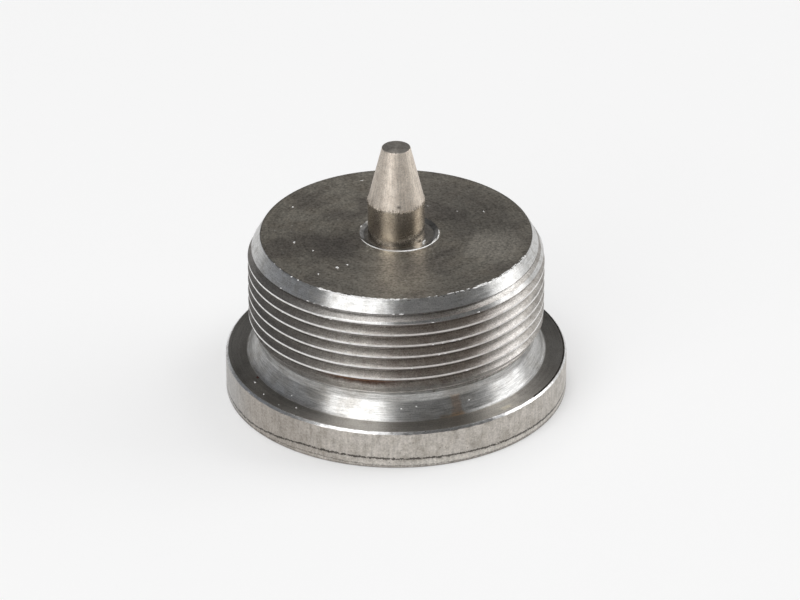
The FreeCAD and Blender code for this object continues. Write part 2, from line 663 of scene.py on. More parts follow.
@dataclass
class PlugBody:
    """The flanged and threaded body of the plug.

    A margin is where one more ring of vertices stands beside an edge, so that only the edge wears.
    The sizes of the CAD body are kept, less a little at the rim for the burrs on it.
    """

    flange_radius: float = 27.785
    flange_height: float = 6.5
    flange_top_edge: float = 0.35
    flange_bottom_edge: float = 0.2
    flange_edge_margin: float = 0.25
    flange_edge_worn: float = 0.03
    relief_radius: float = 22.503
    relief_wall_top: float = 9.266
    relief_wall_angle: float = 30.0
    relief_corner: float = 1.0
    relief_top: float = 10.5
    seat_radius: float = 24.1
    thread_radius: float = 24.0
    thread_root: float = 22.773
    thread_pitch: float = 2.0
    thread_turns: int = 9
    thread_angle: float = 60.0
    flare: tuple[Point, ...] = ((0.0, 0.015), (0.12, 0.05))
    crest_widened: float = 0.05
    crest_eased: float = 0.03
    run_out_top: float = 13.09
    first_crest: float = 26.2
    lead_foot: float = 24.136
    lead_radius: float = 22.0
    lead_margin: Point = (0.1155, 0.2)
    top: float = 27.6
    top_margin: float = 0.3
    socket_flats: float = 24.0
    socket_depth: float = 10.0
    socket_relief: float = 1.5
    socket_mouth: float = 0.8
    pin_radius: float = 4.61
    pin_floor: float = 19.6
    recess_radius: float = 6.4
    recess_depth: float = 0.4
    recess_slope: float = 30.0
    recess_centre: Point = (0.48, 0.43)
    lip_profile: tuple[Point, ...] = (
        (-0.02, -0.3), (0.02, 0.0), (0.12, 0.05), (0.24, 0.03), (0.46, -0.14), (0.5, -0.3),
    )
    lip_azimuth: float = 50.0
    lip_tilt: float = 1.4
    lip_sunk: float = 0.1
    stand_off: float = 1.0
    steps: int = 480
    thread_steps: int = 360
    hole_steps: int = 240

    def blank(self) -> Work:
        """The turned blank, before the thread and the holes.

        Returns:
            A closed shell.
        """
        rim, high = self.flange_radius, self.flange_height
        edge, margin = self.flange_top_edge, self.flange_edge_margin
        piece = Work.draw(
            "plug_body_dressed",
            [
                (0.0, 0.0), (rim - self.flange_bottom_edge, 0.0), (rim, self.flange_bottom_edge),
                (rim, high - edge - margin), (rim - self.flange_edge_worn, high - edge),
                (rim - edge, high), (rim - edge - margin, high), (self.seat_radius, high),
                (self.relief_radius, self.relief_wall_top), (self.relief_radius, self.relief_top),
                (self.thread_radius, self.run_out_top), (self.thread_radius, self.lead_foot),
                (self.lead_radius + self.lead_margin[0], self.top - self.lead_margin[1]),
                (self.lead_radius, self.top), (self.lead_radius - self.top_margin, self.top),
                (0.0, self.top),
            ],
        )
        reach = self.relief_corner * math.tan(math.radians(self.relief_wall_angle / 2))
        for corner, offset, segments in (
            ((self.relief_radius, self.relief_wall_top), reach, 8),
            ((self.seat_radius, high), 0.45, 7),
            ((rim - self.flange_bottom_edge, 0.0), 0.05, 2),
            ((rim - edge, high), 0.08, 3),
            ((self.lead_radius, self.top), 0.1, 3),
        ):
            piece.round_corner(corner, offset, segments)
        piece.turn(self.steps)
        return piece

    def wear(self, piece: Work) -> None:
        """Roughens the edges that the tool and handling have marked.

        Args:
            piece: The turned blank.
        """
        rim, high, top = self.flange_radius, self.flange_height, self.top
        lower = high - self.flange_top_edge
        edges: tuple[tuple[float, int, Test], ...] = (
            (0.05, 3, lambda co, _: abs(co.z - lower) < 0.02 and co.xy.length > rim - 0.05),
            (0.022, 8, lambda co, _: abs(co.z - high) < 0.09
             and rim - 0.45 < co.xy.length < rim - 0.22),
            (0.04, 11, lambda co, _: co.z > top - 0.12
             and abs(co.xy.length - self.lead_radius) < 0.12
             and co.y < (-17.0 if co.x < 0.0 else -8.0)),
        )
        for offset, seed, test in edges:
            piece.roughen(test, offset, seed)
        piece.pick(lambda co, _: co.xy.length > rim + 0.001)
        inward = rim / (rim + 0.1)
        bpy.ops.transform.resize(value=(inward, inward, 1.0), center_override=(0.0, 0.0, 0.0))
        piece.close()

    def thread_cutter(self) -> Work:
        """The helical V that leaves the thread standing, its lips flared to ease the crests.

        Returns:
            A closed solid that starts over the relief groove.
        """
        slope = math.tan(math.radians(self.thread_angle / 2))
        half_crest = self.thread_pitch / 2 - self.thread_pitch / 16 - self.crest_widened
        half_root = half_crest - (self.thread_radius - self.thread_root) * slope
        upper = [
            (self.thread_root, half_root),
            (self.thread_radius - self.crest_eased, half_crest - self.crest_eased * slope),
            *((self.thread_radius + out, half_crest + wider) for out, wider in self.flare),
        ]
        lower = [(radius, -height) for radius, height in upper]
        piece = Work.draw("thread_cutter", lower + upper[::-1], closed=True)
        for side in (-half_root, half_root):
            piece.round_corner((self.thread_root, side), 0.1, 2)
        piece.screw(self.thread_pitch, self.thread_turns, self.thread_steps)
        start = self.first_crest - self.thread_pitch / 2
        piece.object.location.z = start - (self.thread_turns - 1) * self.thread_pitch
        piece.object.rotation_euler.z = math.radians(FRONT)
        return piece

    def socket_cutters(self) -> list[Work]:
        """The hexagon, the round relief at its end and its chamfered mouth.

        Returns:
            Three solids, each of which is cut by itself.
        """
        corner = self.socket_flats / 2 / math.cos(math.pi / 6)
        below, mouth = self.stand_off, self.socket_mouth
        tools = []
        for sides, radius, high, narrow in (
            (6, corner, self.socket_depth, 0.0),
            (self.hole_steps, self.socket_flats / 2, self.socket_depth + self.socket_relief, 0.0),
            (self.hole_steps, corner + mouth + below, mouth, mouth + below),
        ):
            Work.clear()
            bpy.ops.mesh.primitive_circle_add(
                vertices=sides, radius=radius, fill_type="NGON", location=(0.0, 0.0, -below)
            )
            tool = Work()
            if sides == 6:
                tool.object.rotation_euler.z = math.pi / 6
            tool.settle()
            tool.open()
            rise = {"value": (0.0, 0.0, high + below)}
            bpy.ops.mesh.extrude_region_move(TRANSFORM_OT_translate=rise)
            small = (radius - narrow) / radius
            bpy.ops.transform.resize(value=(small, small, 1.0), center_override=(0.0, 0.0, high))
            tool.close_outward()
            tools.append(tool)
        return tools

    def top_cutters(self) -> list[Work]:
        """The off-centre countersink and the pin's hole.

        Returns:
            Two solids.
        """
        over, deep = self.top + self.stand_off, self.top - self.recess_depth
        x, y = self.recess_centre
        run = 1.0 / math.tan(math.radians(self.recess_slope))
        foot = (x + (self.recess_radius - self.recess_depth * run), deep)
        mouth = (x + self.recess_radius + run * self.stand_off, over)
        recess = Work.draw("recess_cutter", [(x, deep), foot, mouth, (x, over)])
        recess.round_corner(foot, 0.15, 4)
        recess.turn(self.hole_steps, x)
        recess.object.location.y = y
        wall, floor = self.pin_radius, self.pin_floor
        hole = Work.draw("hole_cutter", [(0.0, floor), (wall, floor), (wall, over), (0.0, over)])
        hole.turn(self.hole_steps)
        return [recess, hole]

    def lip(self) -> Work:
        """The burr round the countersink, raised on one side and sunk in the face on the other.

        Returns:
            A closed ring.
        """
        x, y = self.recess_centre
        edge, face = x + self.recess_radius, self.top - self.lip_sunk
        points = [(edge + out, face + up) for out, up in self.lip_profile]
        piece = Work.draw("lip", points, closed=True)
        piece.round_corner(points[2], 0.04, 2)
        piece.turn(self.hole_steps, x)
        piece.roughen(lambda co, _: co.z > face - 0.05, 0.03, seed=4, soften=1)
        high = math.radians(self.lip_azimuth)
        piece.open()
        bpy.ops.transform.rotate(
            value=math.radians(self.lip_tilt),
            orient_axis="X",
            orient_matrix=(
                (math.cos(high), math.sin(high), 0.0),
                (-math.sin(high), math.cos(high), 0.0),
                (0.0, 0.0, 1.0),
            ),
            orient_type="GLOBAL",
            center_override=(x, 0.0, face),
        )
        piece.close()
        piece.object.location.y = y
        return piece

    def build(self) -> bpy.types.Object:
        """Makes the whole body.

        Returns:
            The body, in metres.
        """
        piece = self.blank()
        self.wear(piece)
        piece.combine(self.thread_cutter())
        for tool in self.socket_cutters() + self.top_cutters():
            piece.combine(tool)
        piece.combine(self.lip(), "UNION")
        self.dress(piece)
        return piece.finish(28.0)

    def dress(self, piece: Work) -> None:
        """Gives each part of the surface its own finish.

        Args:
            piece: The body.
        """
        high, top, rim = self.flange_height, self.top, self.flange_radius
        crest, floor = self.thread_radius - 0.01, top - self.recess_depth + 0.01
        foot, outside, near_pin, in_socket = self.relief_top, 20.0, 7.5, 15.5
        finishes: list[tuple[Steel, Test]] = [
            (THREADED, everywhere),
            (CRESTED, lambda co, n: co.xy.length > crest and abs(n.z) < 0.3 and co.z > foot),
            (FACED_TOP, lambda co, n: co.z > top - 0.01 and n.z > 0.9),
            (SUNK, lambda co, n: abs(co.z - floor) < 0.03 and n.z > 0.95
             and co.xy.length < near_pin),
            # Painted shade on the countersink's slope.
            (SHADED_COUNTERSINK, lambda co, n: floor < co.z < top - 0.01 and co.xy.length < near_pin),
            # The lip takes a painted glint.
            (LIP_GLINT, lambda co, n: co.z > top + 0.001),
            (CHAMFERED, lambda co, n: co.z > self.lead_foot - 0.1 and 0.4 < n.z < 0.6
             and co.xy.length > outside),
            (CHAMFERED, lambda co, n: co.z > top - 0.15 and 0.4 < n.z < 0.97
             and co.xy.length > outside),
            (GROOVED, lambda co, n: co.z < foot + 0.4 and co.xy.length > outside),
            (SEATED, lambda co, n: n.z > 0.9 and abs(co.z - high) < 0.03
             and co.xy.length > self.seat_radius - 0.1),
            (RIMMED, lambda co, n: co.xy.length > rim - 0.5 and co.z < high - 0.3 and n.z > -0.9),
            (EDGED, lambda co, n: co.xy.length > rim - 0.45 and co.z > high - 0.36 and n.z > 0.25),
            # Painted shade along the rim's top edge at the right.
            (PAINTED_EDGE_SHADE, lambda co, n: co.xy.length > rim - 0.55 and co.z > high - 0.1 and n.z > 0.25
             and co.x > 22.0),
            (FACED_UNDER, lambda co, n: co.z < 0.02 and n.z < -0.9),
            (BROACHED, lambda co, n: co.xy.length < in_socket
             and 0.01 < co.z < self.pin_floor - 0.6),
        ]
        piece.coat(finishes)


@dataclass(frozen=True)
class Fleck:
    """A chip or a curl of burr that stands on the steel."""

    azimuth: float
    radius: float
    height: float
    length: float
    width: float = 0.2


@dataclass
class Burrs:
    """The burrs that the tool left on the edges, and the chips that lie in the grooves.

    Those on crests give their azimuth, the turns from the highest crest down, and their length.
    Those on faces are flecks, and those rolled over the top face's edge are given by the azimuths
    where they begin and end, their number and the start of their random numbers.
    """

    body: PlugBody = field(default_factory=PlugBody)
    uneven: float = 0.16
    flat: float = 0.8
    on_crests: tuple[tuple[float, int, float], ...] = (
        (-52.0, 0, 0.35), (-37.0, 0, 0.5), (-34.0, 0, 0.3), (-30.0, 0, 0.5), (-27.0, 0, 0.7),
        (-1.0, 0, 0.5), (2.0, 0, 0.8), (-33.0, 1, 0.8), (-31.0, 1, 0.5), (-28.0, 1, 0.9),
        (-25.5, 1, 0.5), (-49.0, 2, 0.4), (14.0, 1, 0.5), (33.0, 1, 0.6), (14.0, 3, 0.5),
        (18.0, 3, 0.5), (22.0, 3, 1.3), (25.0, 3, 0.7), (19.0, 4, 0.5), (16.5, 4, 0.4),
        (6.0, 5, 0.3), (28.0, 6, 0.5), (41.0, 5, 0.5),
    )
    on_faces: tuple[tuple[float, float, float, float, float], ...] = (
        (-39.0, 14.9, 27.62, 0.62, 0.36), (-36.0, 13.2, 27.62, 0.4, 0.22),
        (-79.0, 16.7, 27.62, 0.42, 0.36), (-66.0, 14.6, 27.62, 0.3, 0.24),
        (-42.0, 18.5, 27.62, 0.34, 0.3), (-118.0, 19.0, 27.62, 0.34, 0.28),
        (127.0, 12.4, 27.6, 0.6, 0.12), (117.0, 16.0, 27.6, 0.6, 0.12),
        (151.0, 10.6, 27.6, 0.5, 0.1), (-163.0, 19.0, 27.6, 0.6, 0.12),
        (-62.0, 22.0, 27.56, 0.26, 0.16), (-57.0, 22.03, 27.56, 0.3, 0.18),
        (-70.0, 22.0, 27.56, 0.22, 0.16), (-112.0, 6.15, 27.5, 1.1, 0.32),
        (66.0, 6.66, 27.6, 1.8, 0.2), (79.0, 6.8, 27.6, 1.9, 0.22),
        (93.0, 6.9, 27.59, 1.8, 0.2), (62.0, 5.05, 27.32, 1.2, 0.3),
        (56.0, 5.3, 27.28, 0.7, 0.22), (-33.0, 22.05, 27.56, 0.5, 0.4),
        (-49.0, 22.05, 27.54, 0.34, 0.24), (-45.0, 22.05, 27.54, 0.34, 0.22),
        (-63.0, 25.6, 6.52, 0.42, 0.24), (-54.0, 26.3, 6.52, 0.26, 0.2),
        (-45.0, 23.75, 7.11, 0.22, 0.2), (-44.0, 24.0, 6.67, 0.22, 0.18),
        (-45.0, 26.6, 6.52, 0.24, 0.2), (-39.0, 25.4, 6.52, 0.4, 0.16),
        (2.0, 23.11, 8.21, 0.34, 0.32), (8.0, 22.97, 8.47, 0.28, 0.26),
        (30.0, 23.16, 8.12, 0.3, 0.26),
    )
    on_edge: tuple[tuple[float, float, int, int], ...] = (
        (34.0, 70.0, 22, 5), (-34.0, 2.0, 24, 9),
    )

    def crest(self, azimuth: float, turn: int) -> Point:
        """Where a crest's lower edge lies.

        Args:
            azimuth: Place round the axis.
            turn: How many turns the crest is below the highest one.

        Returns:
            Radius and height.
        """
        body = self.body
        middle = body.first_crest + body.thread_pitch * (azimuth / FULL_TURN - turn)
        lower = middle - body.thread_pitch / 16
        slant = (body.thread_radius - body.lead_radius) / (body.top - body.lead_foot)
        flank = math.tan(math.radians(90.0 - body.thread_angle / 2))
        inset = body.lead_radius + slant * body.top - body.thread_radius
        height = (inset + flank * lower) / (flank + slant)
        radius = body.lead_radius + slant * (body.top - height)
        if radius > body.thread_radius:
            return body.thread_radius, lower
        return radius, height

    def rolled(self, start: float, end: float, count: int, seed: int) -> list[Fleck]:
        """The burr rolled over the top face's edge, in short lengths.

        Args:
            start: Azimuth where it begins.
            end: Azimuth where it ends.
            count: Number of lengths.
            seed: Start of the random numbers.

        Returns:
            The lengths.
        """
        chance = random.Random(seed)
        step = (end - start) / count
        return [
            Fleck(
                azimuth=start + step * (i + chance.uniform(0.2, 0.8)),
                radius=self.body.lead_radius + chance.uniform(-0.03, 0.06),
                height=self.body.top - chance.uniform(0.0, 0.1),
                length=chance.uniform(0.35, 1.2),
                width=chance.uniform(0.18, 0.36),
            )
            for i in range(count)
        ]

    def shape(self, fleck: Fleck, seed: int) -> Work:
        """Models one fleck, drawn out along its edge and uneven.

        Args:
            fleck: Its size and place.
            seed: Start of the random numbers.

        Returns:
            The fleck, in millimetres.
        """
        turn = math.radians(fleck.azimuth)
        Work.clear()
        bpy.ops.mesh.primitive_ico_sphere_add(subdivisions=2, radius=0.5)
        piece = Work()
        piece.open()
        bpy.ops.transform.vertex_random(offset=self.uneven, uniform=0.0, normal=0.0, seed=seed)
        bpy.ops.transform.resize(value=(fleck.length, fleck.width, fleck.width * self.flat))
        piece.close()
        x, y = fleck.radius * math.sin(turn), -fleck.radius * math.cos(turn)
        piece.object.location = (x, y, fleck.height)
        piece.object.rotation_euler.z = turn
        piece.settle()
        return piece

    def build(self) -> bpy.types.Object:
        """Makes all the flecks as one piece.

        Returns:
            The flecks, in metres.
        """
        flecks = [Fleck(*sizes) for sizes in self.on_faces]
        for stretch in self.on_edge:
            flecks += self.rolled(*stretch)
        for azimuth, turn, length in self.on_crests:
            flecks.append(Fleck(azimuth, *self.crest(azimuth, turn), length))
        pieces = [self.shape(fleck, seed) for seed, fleck in enumerate(flecks)]
        pieces[0].hold()
        for piece in pieces:
            piece.object.select_set(True)
        bpy.ops.object.join()
        joined = Work("burrs")
        # The flecks take a painted glint.
        joined.coat([(GLINTING_BURR, everywhere)])
        return joined.finish(60.0)


@dataclass
class TaperPin:
    """The hard pin in the middle of the top face."""

    radius: float = 4.6
    floor: float = 19.6
    lead: float = 0.5
    straight_top: float = 33.8
    ground_margin: float = 0.35
    ground_in: Point = (0.01, 0.085)
    tip: float = 43.2
    tip_radius: float = 2.3
    steps: int = 300

    def build(self) -> bpy.types.Object:
        """Makes the pin, with the ragged edge where the taper was ground.

        Returns:
            The pin, in metres.
        """
        wall, ground, margin = self.radius, self.straight_top, self.ground_margin
        piece = Work.draw(
            "taper_pin_dressed",
            [
                (0.0, self.floor), (wall - self.lead, self.floor), (wall, self.floor + self.lead),
                (wall, ground - margin), (wall - self.ground_in[0], ground),
                (wall - self.ground_in[1], ground + margin), (self.tip_radius, self.tip),
                (0.0, self.tip),
            ],
        )
        piece.round_corner((self.tip_radius, self.tip), 0.1, 3)
        piece.turn(self.steps)
        piece.roughen(lambda co, _: abs(co.z - ground) < 0.01, 0.2, seed=5)
        piece.roughen(
            lambda co, _: abs(co.z - ground) < 0.21 and co.x > 0.2 and co.y < 0.0, 0.12, seed=7
        )
        finishes: list[tuple[Steel, Test]] = [
            (PIN_SHANK, everywhere),
            (PIN_TAPER, lambda co, n: co.z > ground - 0.1 and n.z < 0.9),
            (PIN_TIP, lambda co, n: co.z > self.tip - 0.12 and n.z > 0.9),
        ]
        piece.coat(finishes)
        return piece.finish(40.0)


FACED_TOP = Steel(
    "faced_top", (0.485, 0.452, 0.39), (0.315, 0.284, 0.238), Lay.FACED, 0.42,
    cloud_size=4.0, fade=0.14, mark_pitch=0.3, mark_depth=0.002, mark_tone=0.6,
    grain=1.8, grain_size=0.38, grain_depth=0.014, anisotropy=0.3,
    # The face is darker beyond a radius of 21.7, in a border by its edge.
    stain=(0.36, 0.325, 0.275), shade=(0.25, 0.225, 0.2), darkened_beyond=21.7, specks=1.5,
    # Painted shade by the pin's left side, and at the front over the pin's reflection; the face is
    # also darker at the back right and lighter at the right.
    stain_and_light_patches=(
        StainAndLightPatch(-62.0, 30.0, 27.0, 28.0, (0.2, 0.18, 0.165), 0.5, 0.3, 8.0, 14.0, 1.5),
        StainAndLightPatch(125.0, 50.0, 27.0, 28.0, (0.2, 0.185, 0.17), 0.5, 0.3, 8.0, 20.0, 2.0),
        StainAndLightPatch(75.0, 18.0, 27.0, 28.0, (0.62, 0.58, 0.51), 0.6, 0.5, 12.0, 20.0, 1.5),
        StainAndLightPatch(0.0, 50.0, 27.0, 28.0, (0.25, 0.235, 0.21), 0.52, 0.3, 8.0, 26.0, 1.5),
    ),
)
SUNK = Steel(
    "sunk", (0.48, 0.455, 0.42), (0.34, 0.31, 0.28), Lay.FACED, 0.36,
    cloud_size=1.2, mark_pitch=0.15, mark_tone=1.0, grain=1.5, grain_size=0.3,
)
# The countersink's slope is a darker copy of the steel: painted shade in the recess.
SHADED_COUNTERSINK = Steel(
    "shaded_countersink", (0.28, 0.272, 0.26), (0.17, 0.165, 0.158), Lay.FACED, 0.3,
    grime_share=0.45, cloud_size=1.2, mark_pitch=0.14, mark_depth=0.003, mark_tone=0.9,
)
# The lip's burr is pale and not metallic, so it shows bright from every side: a painted glint,
# dimmed by painted shade at the front left.
LIP_GLINT = Steel(
    "lip_glint", (0.88, 0.88, 0.87), (0.6, 0.59, 0.58), Lay.FACED, 0.3,
    grime_share=0.2, cloud_size=0.8, mark_pitch=0.12, mark_depth=0.002, metallic=0.0,
    stain_and_light_patches=(StainAndLightPatch(-14.0, 24.0, 27.0, 28.0, (0.4, 0.38, 0.35), 0.75),),
)
CHAMFERED = Steel(
    "chamfered", (0.6, 0.597, 0.588), (0.47, 0.46, 0.44), Lay.TURNED, 0.3,
    grime_share=0.35, cloud_size=1.4, mark_pitch=0.16, mark_depth=0.008, mark_tone=0.9,
    mark_run=8.0, grain=1.0, grain_size=0.2, grain_depth=0.004, anisotropy=0.8,
    # Painted shade dims the lamps' highlights at the right and at the front left; a painted
    # highlight lightens the front right.
    stain_and_light_patches=(
        StainAndLightPatch(50.0, 15.0, 23.0, 28.0, (0.36, 0.36, 0.355), 0.6, 0.5),
        StainAndLightPatch(-12.0, 14.0, 23.0, 28.0, (0.42, 0.42, 0.415), 0.5, 0.8),
        StainAndLightPatch(14.0, 9.0, 23.0, 28.0, (0.8, 0.79, 0.775), 0.45, 0.4),
    ),
)
THREADED = Steel(
    "threaded", (0.47, 0.45, 0.425), (0.33, 0.305, 0.28), Lay.TURNED, 0.38,
    cloud_size=1.4, fade=0.2, mark_pitch=0.16, mark_depth=0.006, mark_tone=0.9,
    grain=1.6, grain_size=0.22, grain_depth=0.006, anisotropy=0.5,
    # Painted shade down in the thread's roots.
    root_shade_below=22.85, specks=0.9,
    # Darker and browner at the front right, partly a brown stain and partly painted shade; painted
    # shade on the left and on the top turn at the front; a rust line low at the front; a painted
    # highlight at the right.
    stain_and_light_patches=(
        StainAndLightPatch(22.0, 30.0, 13.0, 25.0, (0.3, 0.25, 0.22), 0.4, 0.6),
        StainAndLightPatch(-66.0, 36.0, 12.5, 25.6, (0.27, 0.255, 0.24), 0.55, 0.4),
        StainAndLightPatch(-12.0, 24.0, 23.7, 26.0, (0.27, 0.26, 0.25), 0.65),
        StainAndLightPatch(-15.0, 16.0, 12.7, 13.3, (0.12, 0.06, 0.035), 0.85, 0.5),
        StainAndLightPatch(48.0, 12.0, 12.0, 26.0, (0.72, 0.715, 0.7), 0.3, 0.5),
    ),
)
CRESTED = Steel(
    "crested", (0.8, 0.79, 0.775), (0.62, 0.6, 0.58), Lay.TURNED, 0.3,
    grime_share=0.3, cloud_size=1.0, mark_pitch=0.1, mark_depth=0.002, mark_tone=0.3,
    # Painted shade over the crests at the front right.
    stain_and_light_patches=(StainAndLightPatch(20.0, 32.0, 12.0, 25.0, (0.42, 0.39, 0.36), 0.6, 0.8),),
)
GROOVED = Steel(
    "grooved", (0.585, 0.58, 0.567), (0.48, 0.465, 0.44), Lay.FILLETED, 0.34,
    cloud_size=3.0, mark_pitch=0.24, mark_depth=0.014, mark_tone=1.5, mark_run=9.0,
    grain=0.8, grain_size=0.2, grain_depth=0.002, anisotropy=0.85,
    # A tan stain and an orange one at the front right; painted shade dims the right lamp's
    # highlight, and a painted highlight lightens the front.
    stain_and_light_patches=(
        StainAndLightPatch(24.5, 2.2, 6.3, 9.4, (0.5, 0.34, 0.23), 0.5, 1.2),
        StainAndLightPatch(22.0, 5.0, 6.2, 6.8, (0.7, 0.5, 0.3), 0.5, 0.5),
        StainAndLightPatch(54.0, 16.0, 6.2, 11.0, (0.34, 0.34, 0.34), 0.62, 0.5),
        StainAndLightPatch(2.0, 12.0, 6.2, 11.0, (0.72, 0.72, 0.71), 0.4, 0.5),
    ),
)
SEATED = Steel(
    "seated", (0.405, 0.388, 0.363), (0.305, 0.286, 0.262), Lay.FACED, 0.33,
    cloud_size=4.0, fade=0.2, mark_pitch=0.3, mark_depth=0.003, mark_tone=0.7,
    grain=1.0, grain_size=0.24, anisotropy=0.9,
    # A painted highlight on the seat at the front right; a small pale yellowish spot; a rust spot
    # at the left.
    stain_and_light_patches=(
        StainAndLightPatch(30.0, 22.0, 6.0, 7.0, (0.58, 0.55, 0.5), 0.5, 0.8, 24.0, 28.0, 0.5),
        StainAndLightPatch(42.0, 2.0, 6.0, 7.0, (0.85, 0.78, 0.6), 0.4, 1.2, 25.9, 26.8),
        StainAndLightPatch(-66.0, 0.9, 6.0, 7.0, (0.2, 0.05, 0.04), 0.9, 0.6, 24.1, 24.7),
    ),
)
RIMMED = Steel(
    "rimmed", (0.52, 0.485, 0.445), (0.4, 0.37, 0.33), Lay.DRAWN, 0.36,
    cloud_size=1.8, fade=0.15, mark_pitch=0.6, mark_run=27.8, mark_depth=0.008, mark_tone=0.7,
    grain=1.0, grain_size=0.3, grain_depth=0.003, anisotropy=0.0, pits=0.9,
    # Painted shade on the left, where the rim mirrors the floor's shadow; a lighter band low at the
    # front right; a painted contact shadow round the foot.
    stain_and_light_patches=(
        StainAndLightPatch(-50.0, 28.0, -1.0, 8.0, (0.34, 0.305, 0.27), 0.6, 0.9),
        StainAndLightPatch(-80.0, 18.0, -1.0, 8.0, (0.36, 0.355, 0.35), 0.6, 0.4),
        StainAndLightPatch(28.0, 40.0, 0.4, 1.2, (0.68, 0.65, 0.6), 0.45),
        StainAndLightPatch(0.0, 400.0, -1.0, 0.3, (0.1, 0.09, 0.08), 0.8, 0.15),
    ),
    scribes=(
        Scribe(
            (
                (-180.0, 1.6), (-55.0, 1.0), (-47.6, 1.3), (-32.0, 2.0),
                (0.0, 1.76), (26.0, 1.64), (62.0, 1.3), (180.0, 1.6),
            ),
            0.17,
            0.9,
        ),
        Scribe(
            ((-180.0, 0.5), (-50.0, 0.4), (-30.0, 0.9), (-5.0, 0.5), (40.0, 0.45), (180.0, 0.5)),
            0.1,
            0.5,
        ),
    ),
)
EDGED = Steel(
    "edged", (0.72, 0.72, 0.72), (0.5, 0.49, 0.48), Lay.FACED, 0.28,
    cloud_size=0.8, mark_pitch=0.12, mark_depth=0.002,
)
# Black and matte: painted shade along the rim's top edge at the right.
PAINTED_EDGE_SHADE = Steel(
    "painted_edge_shade", (0.06, 0.055, 0.05), (0.03, 0.028, 0.025), Lay.FACED, 0.8,
    cloud_size=0.8, mark_pitch=0.12, mark_depth=0.001, metallic=0.0, gloss=0.0,
)
FACED_UNDER = Steel(
    "faced_under", (0.5, 0.47, 0.43), (0.34, 0.31, 0.28), Lay.FACED, 0.36,
    cloud_size=3.0, mark_pitch=0.35, mark_depth=0.008, mark_tone=0.8, grain=1.0, anisotropy=0.6,
)
BROACHED = Steel(
    "broached", (0.5, 0.48, 0.45), (0.3, 0.27, 0.24), Lay.DRAWN, 0.36,
    mark_pitch=0.5, mark_run=13.0, mark_depth=0.006, mark_tone=0.7, anisotropy=0.0,
)
# Pale and not metallic, so the burrs and chips show bright from every side: a painted glint.
GLINTING_BURR = Steel(
    "glinting_burr", (0.86, 0.86, 0.85), (0.7, 0.69, 0.68), Lay.TURNED, 0.4,
    grime_share=0.2, cloud_size=0.5, mark_pitch=0.1, mark_depth=0.001, metallic=0.0,
)
PIN_SHANK = Steel(
    "pin_shank", (0.53, 0.48, 0.41), (0.39, 0.34, 0.285), Lay.TURNED, 0.24,
    grime_share=0.35, cloud_size=1.2, fade=0.2, mark_pitch=0.14, mark_depth=0.0015,
    mark_tone=0.4, grain=1.2, grain_size=0.2, anisotropy=0.3,
)
PIN_TAPER = Steel(
    "pin_taper", (0.665, 0.6, 0.525), (0.55, 0.485, 0.42), Lay.DRAWN, 0.5,
    grime_share=0.35, cloud_size=0.9, fade=0.2, mark_pitch=0.3, mark_run=4.0,
    mark_depth=0.012, mark_tone=0.9, grain=1.0, grain_size=0.18, grain_depth=0.003,
    anisotropy=0.0, pits=0.9,
    stain_and_light_patches=(StainAndLightPatch(6.0, 4.0, 34.35, 34.75, (0.08, 0.07, 0.06), 0.85, 0.4),),
)
PIN_TIP = Steel(
    "pin_tip", (0.64, 0.6, 0.55), (0.46, 0.42, 0.38), Lay.FACED, 0.36,
    cloud_size=0.8, mark_pitch=0.12, mark_depth=0.002, grain=1.0, grain_size=0.16,
    # Painted shade: the tip is darkened round its outer edge.
    darkened_beyond=2.15,
)


@dataclass
class Lamp:
    """One soft white lamp, aimed at the plug. Its sizes are metres."""

    name: str
    toward: tuple[float, float, float]
    distance: float
    width: float
    height: float
    radiance: float
    roll: float = 0.0

    def build(self) -> None:
        """Hangs the lamp."""
        light = bpy.data.lights.new(self.name, "AREA")
        light.shape = "RECTANGLE"
        light.size = self.width
        light.size_y = self.height
        light.energy = self.radiance * math.pi * self.width * self.height
        lamp = bpy.data.objects.new(self.name, light)
        bpy.context.scene.collection.objects.link(lamp)
        direction = Vector(self.toward).normalized()
        lamp.location = direction * self.distance
        roll = Quaternion((0.0, 0.0, 1.0), math.radians(self.roll))
        lamp.rotation_euler = (direction.to_track_quat("Z", "Y") @ roll).to_euler()


@dataclass(frozen=True)
class Glow:
    """A pale place on the room's walls, fading out from one angle off its middle to another."""

    toward: tuple[float, float, float]
    inner: float
    outer: float
    tone: Colour


